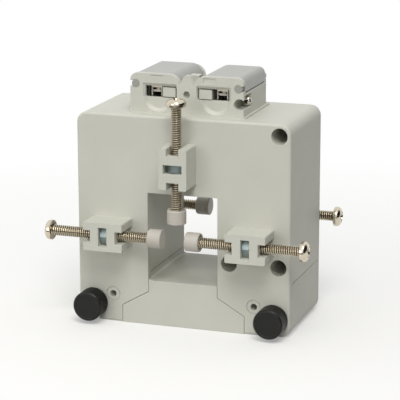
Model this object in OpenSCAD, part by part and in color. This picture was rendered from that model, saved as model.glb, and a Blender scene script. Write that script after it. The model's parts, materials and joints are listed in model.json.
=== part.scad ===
// Split-core current transformer for a flat busbar. Millimetres, +Z up.
// Origin: middle of the depth and of the busbar window's width, on the bottom face.
// The front, with the thumb knobs, looks towards -Y.

/* [Busbar window] */
// Width of the window
window_w = 31.2; // [26:0.2:40]
// Height of the window, from its floor to its roof
window_h = 38.5; // [32:0.5:50]
// Radius where the floor turns up into the yoke's short walls
trough_r = 1.2; // [0.5:0.1:2.5]

/* [Core] */
// Width of the core's strip stack, the same all the way round
core_w = 12; // [10:0.5:15]
// Depth of the core, across the strip
core_d = 28; // [23:1:34]
// Outer corner radius of the core
core_r = 7; // [4:0.5:9]
// Height of the yoke's short walls above the window's floor
yoke_lip = 3.2; // [2.4:0.2:5]

/* [Casing] */
// Wall of the casing's sides and of the window
wall = 2.5; // [2:0.1:3]
// Thickness of the front wall, the rear cover and their ears
face_t = 3; // [2.5:0.1:4]
// Radius of the casing's long corners
corner_r = 4.5; // [3:0.5:6]
// Rounding of the front and rear edges
edge_r = 1; // [0.4:0.1:1.6]
// Room beside the core for the coil and the screw columns
side_room = 9.95; // [9.9:0.05:12]
// Room before and behind the core for the coil
depth_room = 6.25; // [6:0.25:9]
// Room between the window's roof wall and the core's top limb
roof_room = 5.2; // [4:0.2:8]
// Room above the core for the leads
lead_room = 11; // [9:0.5:16]
// Thickness of the plate that closes the yoke from below
base_t = 2; // [1.5:0.1:3]
// Plastic between the yoke's core and the window's floor
floor_t = 5.3; // [3:0.1:7]

/* [Ears] */
// How far each ear's lower inner edge stands outside the window
ear_step = 12.05; // [9:0.05:14]
// Height where an ear's slanted edge starts
ear_low_z = 7.7; // [6:0.1:9]
// Height where an ear's slanted edge meets the window's side
ear_high_z = 14.8; // [12:0.1:16]

/* [Housing screws] */
// Diameter of a screw well
well_d = 7; // [6:0.2:8]
// Depth of a screw well
well_depth = 20; // [14:1:22]
// Distance from a well's axis to the nearest outer or window face
well_inset = 5.1; // [4.8:0.1:6]
// Height of the lower wells above the parting plane
well_rise = 7.3; // [6:0.1:8]
// Outside diameter of a screw column
column_d = 9.2; // [8.8:0.1:10]
// Shank diameter of a housing screw
housing_screw_d = 3; // [2.5:0.5:3.5]

/* [Clamp brackets] */
// Length of a bracket along its screw
bracket_l = 17.6; // [15:0.2:20]
// Width of a bracket across its screw
bracket_w = 12.4; // [11.5:0.1:15]
// How far a bracket stands off the casing
bracket_t = 12.5; // [12.2:0.1:15]
// Depth of the slot at each end of a bracket
bracket_slot = 3.2; // [2:0.1:4]
// Rounding of a bracket's outer corners
bracket_r = 0.7; // [0.3:0.1:1.5]
// Distance of a clamp screw's axis from the casing's face
axis_out = 7; // [6:0.1:8]
// Height of the side clamps above the parting plane
clamp_rise = 17.5; // [16.5:0.5:20]
// Height of the top clamp's bracket above the window's roof
top_bracket_rise = 13.7; // [11:0.1:16]

/* [Clamp screws] */
// Thread diameter of a clamp screw
screw_d = 5; // [4:0.5:6]
// Length of a clamp screw under its head
screw_l = 50; // [40:1:60]
// Head diameter of a clamp screw
screw_head_d = 9.5; // [8:0.1:11.5]
// Head height of a clamp screw
screw_head_h = 3.6; // [3:0.1:4.5]
// Width across the flats of a clamp nut
nut_af = 8; // [7:0.5:9]
// Thickness of a clamp nut
nut_t = 3.6; // [3:0.1:4]
// Diameter of a screw's end cap
cap_d = 8.2; // [7.5:0.1:10]
// Length of a screw's end cap
cap_l = 6.1; // [5:0.1:9]
// Thickness of a cap's closed end
cap_floor = 1.2; // [0.8:0.1:2]
// How far each cap reaches into the window: front left, right, top, then rear left, right, top
cap_reach = [9.3, 11.3, 10.4, 10.3, 13.1, 9];

/* [Thumb knobs] */
// Diameter of a knob
knob_d = 13; // [11:0.5:15]
// Height of a knob
knob_h = 8.5; // [6:0.5:11]
// Distance of a knob's axis from the casing's side
knob_inset = 7; // [6.6:0.1:8]
// Height of the knob's axis
knob_z = 8; // [7:0.5:9]
// Diameter of the stud that is moulded into a knob
stud_d = 4; // [3:0.5:4.5]
// Thickness of the washer behind a knob
washer_t = 0.6; // [0.4:0.1:1.2]
// Teeth round a knob
knob_teeth = 40; // [24:4:60]

/* [Terminal block] */
// Width of the terminal block
term_w = 50.2; // [48:0.2:56]
// Depth of the terminal block
term_d = 34.5; // [30:0.5:38]
// Height of the terminal block
term_h = 17; // [16:0.1:19]
// Height of the tray below the covers
tray_h = 9.6; // [9:0.1:11]
// Thickness of the block's end plates
plate_t = 2.6; // [2:0.1:3]
// Half the width of the rib between the two trays
rib_half = 3; // [2.6:0.1:3.6]
// Inner corner radius of the covers and the end plates
cover_inner_r = 5; // [4:0.5:6]
// Outer corner radius of the covers and the end plates
cover_outer_r = 2.7; // [2:0.1:3.4]
// Thickness of a cover
cover_t = 1.4; // [1:0.1:1.8]
// Diameter of a cover's hinge pins
pin_d = 3.4; // [2.6:0.1:3.8]
// Distance of the hinge axis from the block's side
pin_inset = 2.4; // [2.3:0.1:3]
// Distance of the hinge axis below the cover's top
pin_drop = 4.3; // [4:0.1:5]
// Distance from the middle of the block to a terminal's axis
terminal_x = 14.6; // [13.5:0.1:16]

/* [Hidden] */
$fn = 48;

// Clearances between pieces
run = 0.05;         // radial, a turning or sliding shaft in its hole
seat = 0.1;         // a moulded piece in its pocket
seam = 0.3;         // the parting line between the casing and the yoke
pole_gap = 0.1;     // between the two cores' pole faces

// Casing, worked out from the core and the window
leg_w = core_w + 2 * side_room;
leg_x = (window_w + leg_w) / 2;
body_w = window_w + 2 * leg_w;
body_d = core_d + 2 * (depth_room + face_t);
front_y = -body_d / 2;
inner_y = body_d / 2 - face_t;
limb_z = base_t + 0.5;
floor_z = limb_z + core_w + floor_t;
seam_z = floor_z + yoke_lip;
roof_z = floor_z + window_h;
top_limb_z = roof_z + wall + roof_room;
body_h = top_limb_z + core_w + lead_room + wall;
ear_x = window_w / 2 + ear_step;

// Colours
casing_grey = "#c3c3bb";
cover_grey = "#aeb1b0";
knob_black = "#32322e";
steel = "#b9ad94";
zinc = "#96a5a5";
insert_black = "#1f1f1e";
copper = "#b5713e";
brass = "#b79c52";

// ---- Shared shapes ----

// Rectangle with round corners, centred in x and standing on y = 0
module rounded_rect(w, h, r) {
    translate([-w / 2 + r, 0]) square([w - 2 * r, h]);
    translate([-w / 2, r]) square([w, h - 2 * r]);
    for (sx = [-1, 1], y = [r, h - r]) translate([sx * (w / 2 - r), y]) circle(r);
}

// Rectangle with sharp corners, centred in x and standing on y = 0
module square_rect(w, h) {
    translate([-w / 2, 0]) square([w, h]);
}

// Rectangle with round corners, centred both ways
module rounded_centred(w, h, r) {
    translate([0, -h / 2]) rounded_rect(w, h, r);
}

// Extrudes an outline drawn in X and Z from depth y0 to depth y1
module extrude_y(y0, y1) {
    translate([0, y1, 0]) rotate([90, 0, 0]) linear_extrude(y1 - y0) children();
}

// Straight edge of a rounded face: a strip of the given width with a quarter round on both sides
module edge_profile(len, f) {
    translate([0, f]) square([f, len - 2 * f]);
    intersection() {
        square([f, len]);
        for (y = [f, len - f]) translate([f, y]) circle(f);
    }
}

// Layer of thickness f whose outer edge is rounded with radius f; its face looks towards -Y at y = 0
module soft_face(w, h, r, f) {
    translate([-w / 2 + r, 0, 0]) rotate([90, 0, 90]) linear_extrude(w - 2 * r) edge_profile(h, f);
    translate([w / 2, 0, r]) rotate([0, 0, 90]) linear_extrude(h - 2 * r) edge_profile(w, f);
    for (sx = [-1, 1], z = [r, h - r])
        translate([sx * (w / 2 - r), 0, z]) rotate([-90, 0, 0]) rotate_extrude() {
            square([r - f, f]);
            intersection() {
                square([r, f]);
                translate([r - f, f]) circle(f);
            }
        }
}

// Wire that rises at a, bends level to run over to b, and rises again; the bends have radius r
module stepped_wire(a, b, z0, z_run, z1, d, r) {
    v = b - a;
    translate([a[0], a[1], 0]) rotate([0, 0, atan2(v[1], v[0])]) {
        translate([0, 0, z0]) cylinder(d = d, h = z_run - r - z0);
        translate([r, 0, z_run - r]) rotate([90, 0, 180]) rotate_extrude(angle = 90) translate([r, 0]) circle(d = d);
        translate([r, 0, z_run]) rotate([0, 90, 0]) cylinder(d = d, h = norm(v) - 2 * r);
        translate([norm(v) - r, 0, z_run + r]) rotate([90, 0, 0]) rotate([0, 0, -90]) rotate_extrude(angle = 90)
            translate([r, 0]) circle(d = d);
        translate([norm(v), 0, z_run + r]) cylinder(d = d, h = z1 - z_run - r);
    }
}

// Cross recess, to be cut from a head whose top is at z = 0
module cross_recess(size, depth) {
    for (a = [0, 90]) rotate([0, 0, a]) translate([-size / 2, -size / 10, -depth]) cube([size, size / 5, depth + 1]);
    translate([0, 0, -depth]) cylinder(d = size * 0.45, h = depth + 1);
}

// Pan head that stands on z = 0, with a domed top
module pan_head(d, h) {
    dome_r = (d * d / 4 + h * h * 0.36) / (h * 1.2);
    difference() {
        union() {
            cylinder(d = d, h = h * 0.4);
            intersection() {
                translate([0, 0, h * 0.4]) cylinder(d = d, h = h * 0.6);
                translate([0, 0, h - dome_r]) sphere(r = dome_r, $fn = 64);
            }
        }
        translate([0, 0, h]) cross_recess(d * 0.56, h * 0.62);
    }
}

// ---- Casing ----

// The outline that the yoke's middle part fills between the ears, grown by g
module yoke_outline(g, top) {
    polygon([
        [-ear_x - g, -1], [ear_x + g, -1], [ear_x + g, ear_low_z + g / 2],
        [window_w / 2 + g, ear_high_z + g / 2], [window_w / 2 + g, top],
        [-window_w / 2 - g, top], [-window_w / 2 - g, ear_high_z + g / 2], [-ear_x - g, ear_low_z + g / 2]
    ]);
}

// Places of the three housing screws that one face carries
function well_places() = [
    [body_w / 2 - well_inset, body_h - well_inset],
    [body_w / 2 - well_inset, seam_z + well_rise],
    [window_w / 2 + well_inset, seam_z + well_rise]
];

// Puts its children at each housing screw, looking into the face that it is driven from
module each_housing_screw(from_front, from_rear) {
    for (p = well_places()) {
        if (from_front) translate([p[0], front_y, p[1]]) rotate([-90, 0, 0]) children();
        if (from_rear) rotate([0, 0, 180]) translate([p[0], front_y, p[1]]) rotate([-90, 0, 0]) children();
    }
}

// One leg of the core and the slots it passes through, grown by g
module core_legs(g, z0, z1) {
    for (sx = [-1, 1])
        translate([sx * leg_x, 0, z0]) linear_extrude(z1 - z0) square([core_w + 2 * g, core_d + 2 * g], center = true);
}

// The hollow of the front housing: everything inside the walls except the window's tunnel
module housing_hollow() {
    difference() {
        extrude_y(front_y + face_t, body_d)
            translate([0, seam_z + wall]) rounded_rect(body_w - 2 * wall, body_h - seam_z - 2 * wall, corner_r - wall);
        extrude_y(front_y, body_d)
            translate([-window_w / 2 - wall, 0]) square([window_w + 2 * wall, roof_z + wall]);
        each_housing_screw(true, false) cylinder(d = column_d, h = body_d / 2);
        each_housing_screw(false, true) translate([0, 0, body_d / 2]) cylinder(d = column_d, h = body_d / 2);
    }
}

// The slots that let the knobs' studs leave the front ears downwards
module stud_slots() {
    for (sx = [-1, 1]) translate([sx * (body_w / 2 - knob_inset), 0, 0]) {
        translate([0, front_y - 1, knob_z]) rotate([-90, 0, 0]) cylinder(d = stud_d + 0.5, h = face_t + 2);
        translate([-stud_d / 2 - 0.25, front_y - 1, -1]) cube([stud_d + 0.5, face_t + 2, knob_z + 1]);
    }
}

// Small hole with a shallow ring round it, beside each knob
module seal_holes(depth) {
    for (sx = [-1, 1]) translate([sx * (ear_x + 4.1), front_y, knob_z + 4.3]) rotate([-90, 0, 0]) {
        translate([0, 0, -1]) cylinder(d = 2.9, h = depth + 1);
        difference() {
            translate([0, 0, -1]) cylinder(d = 6.4, h = 1.25);
            translate([0, 0, -1]) cylinder(d = 5.6, h = 1.25);
        }
    }
}

// Holes for the brackets' pegs, in the wall that looks towards -Y at front_y
module peg_holes() {
    for (i = [0 : 2]) at_clamp(i) translate([0, -1, 0]) bracket_pegs(face_t + 2, 2 * seat);
}

module front_housing() color(casing_grey) difference() {
    union() {
        translate([0, front_y, 0]) soft_face(body_w, body_h, corner_r, edge_r);
        extrude_y(front_y + edge_r, inner_y) rounded_rect(body_w, body_h, corner_r);
        terminal_plinth();
    }
    housing_hollow();
    extrude_y(front_y - 1, body_d) yoke_outline(0, roof_z);
    translate([-body_w, front_y + face_t, -1]) cube([2 * body_w, body_d, seam_z + 1]);
    core_legs(seat, seam_z - 1, seam_z + wall + 1);
    each_housing_screw(true, false) {
        translate([0, 0, -1]) cylinder(d = well_d, h = well_depth + 1);
        cylinder(d = housing_screw_d + 0.4, h = body_d);
    }
    each_housing_screw(false, true) {
        translate([0, 0, -1]) cylinder(d = well_d, h = well_depth + 1);
        translate([0, 0, body_d / 2 - 1]) cylinder(d = housing_screw_d + 2 * run, h = 16);
    }
    stud_slots();
    seal_holes(face_t + 1);
    peg_holes();
    lead_holes();
}

module rear_cover() color(casing_grey) rotate([0, 0, 180]) difference() {
    union() {
        translate([0, front_y, 0]) soft_face(body_w, body_h, corner_r, edge_r);
        extrude_y(front_y + edge_r, front_y + face_t) rounded_rect(body_w, body_h, corner_r);
        intersection() {
            union() {
                each_housing_screw(true, false) cylinder(d = column_d - 0.8, h = body_d / 2 - seat);
                each_housing_screw(false, true) translate([0, 0, body_d / 2 + seat])
                    cylinder(d = column_d - 0.8, h = body_d / 2 - seat - face_t / 2);
            }
            extrude_y(front_y + face_t / 2, 0) difference() {
                translate([0, seam_z + wall + seat])
                    rounded_rect(body_w - 2 * wall - 2 * seat, body_h - seam_z - 2 * wall - 2 * seat, corner_r - wall);
                translate([0, seam_z]) square_rect(window_w + 2 * wall + 2 * seat, roof_z + wall + seat - seam_z);
            }
        }
    }
    extrude_y(front_y - 1, body_d) yoke_outline(0, roof_z);
    each_housing_screw(true, false) {
        translate([0, 0, -1]) cylinder(d = well_d, h = well_depth + 1);
        cylinder(d = housing_screw_d + 0.4, h = body_d);
    }
    each_housing_screw(false, true) translate([0, 0, body_d / 2 - 1]) cylinder(d = housing_screw_d + 2 * run, h = 16);
    seal_holes(face_t + 1);
    peg_holes();
}

module housing_screws() color(zinc) each_housing_screw(true, true) translate([0, 0, well_depth]) {
    rotate([180, 0, 0]) pan_head(housing_screw_d * 2, housing_screw_d * 0.75);
    cylinder(d = housing_screw_d, h = body_d / 2 - well_depth + 13);
}

// ---- Core and coil ----

// Outline of a C core that opens downwards, with its poles at y = 0
module c_core(height) {
    difference() {
        translate([0, -core_r]) rounded_rect(2 * leg_x + core_w, height + core_r, core_r);
        translate([-leg_x + core_w / 2, -2 * core_r]) square([2 * leg_x - core_w, height - core_w + 2 * core_r]);
        translate([-body_w, -2 * core_r]) square([2 * body_w, 2 * core_r]);
    }
}

module upper_core() color("#6d6a66") extrude_y(-core_d / 2, core_d / 2)
    translate([0, seam_z + pole_gap / 2]) c_core(top_limb_z + core_w - seam_z - pole_gap / 2);

module lower_core() color("#6d6a66") extrude_y(-core_d / 2, core_d / 2)
    translate([0, seam_z - pole_gap / 2]) mirror([0, 1]) c_core(seam_z - pole_gap / 2 - limb_z);

bobbin_wall = 1.2;
bobbin_z = seam_z + well_rise + column_d / 2 + 1;
bobbin_h = top_limb_z - 0.5 - bobbin_z;
tube_w = core_w + 2 * (seat + bobbin_wall);
tube_d = core_d + 2 * (seat + bobbin_wall);
coil_t = 3.5;

module bobbin(side) color("#d8d4c4") translate([side * leg_x, 0, bobbin_z]) difference() {
    union() {
        linear_extrude(bobbin_h) rounded_centred(tube_w, tube_d, bobbin_wall);
        for (z = [0, bobbin_h - bobbin_wall]) translate([0, 0, z]) linear_extrude(bobbin_wall)
            rounded_centred(tube_w + 2 * coil_t + 2, tube_d + 2 * coil_t + 1, 2);
    }
    translate([0, 0, -1]) linear_extrude(bobbin_h + 2) square([core_w + 2 * seat, core_d + 2 * seat], center = true);
    translate([0, lead_start_y, bobbin_h - 2 * bobbin_wall]) cylinder(d = lead_d + 0.4, h = 3 * bobbin_wall);
}

module winding(side) color(copper) translate([side * leg_x, 0, bobbin_z + bobbin_wall + 0.05]) difference() {
    linear_extrude(bobbin_h - 2 * bobbin_wall - 0.1) rounded_centred(tube_w + 2 * coil_t, tube_d + 2 * coil_t, coil_t);
    translate([0, 0, -1]) linear_extrude(bobbin_h) rounded_centred(tube_w + 0.1, tube_d + 0.1, bobbin_wall);
}

lead_d = 1.4;
lead_y = 9;
// Where a lead leaves the coil and where it ends under its contact bar
lead_start_y = tube_d / 2 + coil_t / 2;

module coil_leads() color("#7a1f1a") for (sx = [-1, 1]) stepped_wire(
    [sx * leg_x, lead_start_y], [sx * terminal_x, lead_y],
    bobbin_z + bobbin_h - bobbin_wall, body_h - wall - lead_room / 2, bar_z - run, lead_d, 2 * lead_d);

module lead_holes() {
    for (sx = [-1, 1]) translate([sx * terminal_x, lead_y, body_h - wall - 1]) cylinder(d = lead_d + 0.6, h = 2 * wall);
}

// ---- Yoke ----

module yoke_housing() color(casing_grey) difference() {
    union() {
        intersection() {
            extrude_y(-inner_y + seam / 2, inner_y - seam / 2) rounded_rect(body_w, body_h, corner_r);
            translate([-body_w, -body_d, -1]) cube([2 * body_w, 2 * body_d, seam_z - seam + 1]);
        }
        extrude_y(front_y, -front_y) intersection() {
            yoke_outline(-0.2, seam_z - seam);
            translate([-body_w, 0]) square([2 * body_w, body_h]);
        }
    }
    extrude_y(-body_d, body_d) translate([0, floor_z]) rounded_rect(window_w, window_h, trough_r);
    core_legs(seat, limb_z, seam_z);
    translate([-leg_x - core_w / 2 - seat, -core_d / 2 - seat, -1])
        cube([2 * leg_x + core_w + 2 * seat, core_d + 2 * seat, limb_z + core_w + seat + 1]);
    translate([-leg_x - core_w / 2 - 2, -core_d / 2 - 2, -1])
        cube([2 * leg_x + core_w + 4, core_d + 4, base_t + 1]);
    insert_pockets();
    seal_holes(face_t + 5);
}

module yoke_base_plate() color(casing_grey)
    linear_extrude(base_t)
        square([2 * leg_x + core_w + 4 - 2 * seat, core_d + 4 - 2 * seat], center = true);

insert_d = 5.6;
insert_l = 6;

// Puts its children at each knob's axis, on the yoke's front face behind the ears
module each_stud_seat() {
    for (sx = [-1, 1]) translate([sx * (body_w / 2 - knob_inset), -inner_y + seam / 2, knob_z]) rotate([-90, 0, 0])
        children();
}

module insert_pockets() {
    each_stud_seat() translate([0, 0, -1]) cylinder(d = insert_d + 2 * run, h = insert_l + 1.5);
}

module stud_inserts() color(brass) each_stud_seat() difference() {
    cylinder(d = insert_d, h = insert_l);
    translate([0, 0, -1]) cylinder(d = stud_d + 2 * run, h = insert_l + 2);
}

// ---- Thumb knobs ----

function tooth_angle(i) = 360 * i / (2 * knob_teeth);

// Depth of the teeth, and the plain edge at each end of the knob
tooth_h = 0.35;
knob_edge = 0.6;

module knob(side) color(knob_black)
    translate([side * (body_w / 2 - knob_inset), front_y - washer_t - 2 * run, knob_z]) rotate([90, 0, 0]) {
        core = knob_d / 2 - tooth_h - run;
        translate([0, 0, knob_edge]) linear_extrude(knob_h - 2 * knob_edge) polygon([
            for (i = [0 : 2 * knob_teeth - 1])
                let (r = knob_d / 2 - (i % 2) * tooth_h) [r * cos(tooth_angle(i)), r * sin(tooth_angle(i))]
        ]);
        cylinder(r = core, h = knob_h - knob_edge);
        translate([0, 0, knob_h - knob_edge]) cylinder(r1 = core, r2 = core - knob_edge, h = knob_edge);
        translate([0, 0, -washer_t - face_t - insert_l + 0.4]) cylinder(d = stud_d, h = washer_t + face_t + insert_l);
    }

module washer(side) color("#e9e6dd")
    translate([side * (body_w / 2 - knob_inset), front_y - run, knob_z]) rotate([90, 0, 0]) difference() {
        cylinder(d = knob_d - 3, h = washer_t);
        translate([0, 0, -1]) cylinder(d = stud_d + 2 * run, h = washer_t + 2);
    }

// ---- Busbar clamps ----
// A clamp is drawn with its screw along +X, its cap towards +X, and the casing's face at y = 0.

// Clamps 0 to 2 are the front's left, right and top ones, 3 to 5 the rear's left, right and top ones,
// with left and right as seen from the front
module at_clamp(i) {
    rear = i > 2;
    // Turning a clamp to the rear swaps left and right
    place = rear ? [1, 0, 2][i - 3] : i;
    rotate([0, 0, rear ? 180 : 0]) translate([0, front_y, 0]) {
        if (place == 0) translate([-leg_x, 0, seam_z + clamp_rise]) children();
        if (place == 1) translate([leg_x, 0, seam_z + clamp_rise]) mirror([1, 0, 0]) children();
        if (place == 2) translate([0, 0, roof_z + top_bracket_rise]) rotate([0, 90, 0]) children();
    }
}

// Where a cap's closed end lies along its screw, from the bracket's middle
function cap_end(i) = cap_reach[i] + (i % 3 == 2 ? top_bracket_rise : leg_w / 2);
function screw_tip(i) = cap_end(i) - cap_floor - 0.1;

module bracket_pegs(len, grow) {
    for (sx = [-1, 1]) translate([sx * (bracket_l / 2 - 3), 0, 0]) rotate([-90, 0, 0])
        cylinder(d = 3.6 + grow, h = len);
}

// Front view of a bracket: two full-length flanges and a shorter block between them
module bracket_outline() {
    slot_w = screw_d + 0.4;
    difference() {
        translate([0, -bracket_w / 2]) rounded_rect(bracket_l, bracket_w, bracket_r);
        for (sx = [-1, 1]) translate([sx * bracket_l / 2, 0])
            square([2 * bracket_slot, slot_w], center = true);
    }
}

module bracket(i) color(casing_grey) at_clamp(i) {
    difference() {
        extrude_y(-bracket_t, 0) bracket_outline();
        translate([0, -axis_out, 0]) rotate([0, 90, 0]) cylinder(d = screw_d + 0.4, h = bracket_l, center = true);
        translate([0, -axis_out, 0]) rotate([0, 90, 0]) rotate([0, 0, 90])
            cylinder(d = (nut_af + 0.2) / cos(30), h = nut_t + 0.2, center = true, $fn = 6);
        translate([-nut_t / 2 - 0.1, -bracket_t - 1, -nut_af / 2 - 0.1])
            cube([nut_t + 0.2, bracket_t - axis_out + 1, nut_af + 0.2]);
    }
    bracket_pegs(face_t - 0.4, 0);
}

module nut(i) color(zinc) at_clamp(i) translate([0, -axis_out, 0]) rotate([0, 90, 0]) difference() {
    intersection() {
        rotate([0, 0, 90]) cylinder(d = nut_af / cos(30), h = nut_t, center = true, $fn = 6);
        for (m = [0, 1]) mirror([0, 0, m]) translate([0, 0, -0.01])
            cylinder(r1 = nut_af / 2 + nut_t * 0.8, r2 = nut_af / 2 - 0.1, h = nut_t / 2 + 0.01);
    }
    cylinder(d = screw_d + 2 * run, h = nut_t + 2, center = true);
}

module clamp_screw(i) color(steel) at_clamp(i) translate([screw_tip(i), -axis_out, 0]) rotate([0, -90, 0]) {
    cylinder(d = screw_d, h = screw_l);
    translate([0, 0, screw_l]) pan_head(screw_head_d, screw_head_h);
}

module cap(i) color("#d2cdc6") at_clamp(i) translate([cap_end(i), -axis_out, 0]) rotate([0, -90, 0]) difference() {
    cylinder(d = cap_d, h = cap_l);
    translate([0, 0, cap_floor]) cylinder(d = screw_d + 2 * run, h = cap_l);
    translate([0, 0, cap_l - 0.8]) cylinder(d = screw_d + 1.6, h = 1);
}

// ---- Terminal block ----

plinth_h = 0.8;
base_z = body_h + plinth_h;
term_top = body_h + term_h;
tray_z = body_h + tray_h;
plate_y = term_d / 2 - plate_t;
bar_z = body_h + 8.6;
opening_z = body_h + 6.9;

// Covers, on the right: sides, foot, top, half length, and the lower edge of the end walls
cover_x0 = rib_half + 0.5;
cover_x1 = term_w / 2 - 0.5;
cover_foot = tray_z + 1.1;
cover_top = term_top - 0.2;
cover_y = plate_y - 0.2;
skirt_z = cover_top - cover_t - 0.5;
pin_x = term_w / 2 - pin_inset;
pin_z = cover_top - pin_drop;
// Rim of the tray under the cover's side
rim_t = 0.8;
rim_h = 0.65;

// Bay for the terminal, and the wire opening before it, on the right
bay_x0 = rib_half + 1.4;
bay_x1 = term_w / 2 - 4.8;
bay_z = base_z + 1.2;
opening_x0 = rib_half + 1.3;
opening_x1 = term_w / 2 - 5.5;
opening_h = 4.9;
surround_h = 6.1;
scoop_x = terminal_x - 1.8;
scoop_r = 6.2;

// Fixing screws in the sides of the tray
fixing_x = term_w / 2 - 1.9;
fixing_z = body_h + 5.9;
fixing_head_d = 4.3;
fixing_d = 2.5;
fixing_depth = 10.5;

// Terminal: metal cage with a screw, in a black insulating block
cage_y = -plate_y + 4.5;
cage_w = 5.2;
cage_d = 6;
cage_z = body_h + 4.7;
cage_h = 7;
cage_wall = 0.7;
insert_top = body_h + 13.4;
clamp_d = 3.5;
clamp_head_d = 6;
clamp_head_h = 1.6;
clamp_l = 3.6;
bar_t = 0.9;
bar_w = 3.4;

module terminal_plinth() {
    translate([0, 0, body_h - 1]) linear_extrude(plinth_h + 1) rounded_centred(term_w + 2, term_d + 2, 2);
}

// End view of one cover or end plate on the right: x0 and x1 are its sides, z0 and z1 its foot and top
module block_outline(x0, x1, z0, z1, r_in, r_out) {
    translate([x0, z0]) square([x1 - x0, z1 - r_in - z0]);
    translate([x0 + r_in, z0]) square([x1 - x0 - r_in - r_out, z1 - z0]);
    translate([x1 - r_out - 0.01, z0]) square([r_out + 0.01, z1 - r_out - z0]);
    intersection() {
        union() {
            translate([x0 + r_in, z1 - r_in]) circle(r_in);
            translate([x1 - r_out, z1 - r_out]) circle(r_out);
        }
        translate([x0, z0]) square([x1 - x0, z1 - z0]);
    }
}

// Rounded gable between the two blocks
module lug_outline() {
    r = 1.6;
    top = term_top - r;
    foot = term_top - 6;
    foot_x = r * cos(30) + (top + r * sin(30) - foot) / tan(60);
    translate([0, top]) circle(r);
    polygon([[-foot_x, foot], [foot_x, foot], [r * cos(30), top + r * sin(30)], [-r * cos(30), top + r * sin(30)]]);
}

module end_plate_outline() {
    for (m = [0, 1]) mirror([m, 0]) {
        block_outline(rib_half, term_w / 2, base_z, term_top, cover_inner_r, cover_outer_r + 0.3);
        translate([0, base_z]) square([rib_half + 0.1, term_h - plinth_h - cover_inner_r]);
    }
    lug_outline();
}

// Hinge hole with its side-open snap slot, on the right
module hinge_cut() {
    translate([pin_x, 0, pin_z]) rotate([90, 0, 0]) cylinder(d = pin_d + 2 * run, h = term_d + 2, center = true);
    translate([pin_x, -term_d, pin_z - pin_d * 0.36]) cube([term_w, 2 * term_d, pin_d * 0.72]);
}

// Wire opening on the right: a shallow surround, the hole and the half-round scoop below it
module wire_opening_cut() {
    mid = (opening_x0 + opening_x1) / 2;
    w = opening_x1 - opening_x0;
    extrude_y(-term_d / 2 - 1, -term_d / 2 + 0.8) translate([mid, opening_z]) rounded_rect(w, surround_h, 1);
    extrude_y(-term_d, -plate_y + 1) translate([mid - 0.3, opening_z]) rounded_rect(w - 1.4, opening_h, 0.5);
    intersection() {
        translate([scoop_x, -term_d / 2 - 0.01, opening_z + 0.1]) rotate([-90, 0, 0])
            cylinder(r1 = scoop_r, r2 = scoop_r - 1.4, h = 1.3, $fn = 64);
        translate([0, -term_d, body_h]) cube([term_w, term_d, opening_z + 0.1 - body_h]);
    }
}

// Channel for the fixing screw, at the right side of the tray
module fixing_channel() {
    translate([fixing_x, -term_d / 2, fixing_z]) rotate([-90, 0, 0]) {
        translate([0, 0, -1]) cylinder(d = fixing_head_d + 0.5, h = fixing_depth + 1);
        cylinder(d = fixing_d + 2 * run, h = 2 * fixing_depth);
    }
}

module terminal_base() color(casing_grey) difference() {
    union() {
        translate([0, 0, base_z]) linear_extrude(tray_z - base_z) square([term_w, term_d], center = true);
        for (sx = [-1, 1]) translate([sx * (term_w - rim_t) / 2, 0, tray_z - 0.5])
            linear_extrude(rim_h + 0.5) square([rim_t, 2 * plate_y + 0.2], center = true);
        for (m = [0, 1]) mirror([0, m, 0]) extrude_y(-term_d / 2, -plate_y) end_plate_outline();
        // Latch post that both covers snap to
        translate([-2.2, -7, tray_z - 1]) cube([4.4, 4, term_top - tray_z - 0.6]);
    }
    for (m = [0, 1]) mirror([m, 0, 0]) {
        translate([bay_x0, -plate_y, bay_z]) cube([bay_x1 - bay_x0, 2 * plate_y, term_h]);
        translate([terminal_x, lead_y, base_z - 1]) cylinder(d = lead_d + 0.6, h = 4);
        hinge_cut();
        wire_opening_cut();
        fixing_channel();
    }
    translate([0, 0, body_h + 8.8]) rotate([90, 0, 0]) cylinder(d = 2.9, h = term_d + 2, center = true);
    translate([-3, -6, tray_z + 4]) cube([6, 2, 1.2]);
}

module cover(side) color(cover_grey) mirror([side < 0 ? 1 : 0, 0, 0]) {
    difference() {
        extrude_y(-cover_y, cover_y)
            block_outline(cover_x0, cover_x1, cover_foot, cover_top, cover_inner_r, cover_outer_r);
        extrude_y(-cover_y + cover_t, cover_y - cover_t) block_outline(cover_x0 + cover_t, cover_x1 - cover_t,
            tray_z - 1, cover_top - cover_t, cover_inner_r - cover_t, cover_outer_r - cover_t);
        // The end walls reach down only beside the hinge, and the inner wall is shorter than the outer one
        translate([cover_x0 + cover_t, -term_d, tray_z - 1])
            cube([pin_x - 0.8 * pin_d - cover_x0 - cover_t, 2 * term_d, skirt_z - tray_z + 1]);
        translate([0, -term_d, tray_z - 1]) cube([cover_x0 + cover_t + 0.1, 2 * term_d, 3.2]);
    }
    // Hinge pins, one on each end wall
    for (m = [0, 1]) mirror([0, m, 0]) translate([pin_x, -term_d / 2, pin_z]) rotate([-90, 0, 0])
        cylinder(d = pin_d, h = term_d / 2 - cover_y + cover_t);
}

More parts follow.
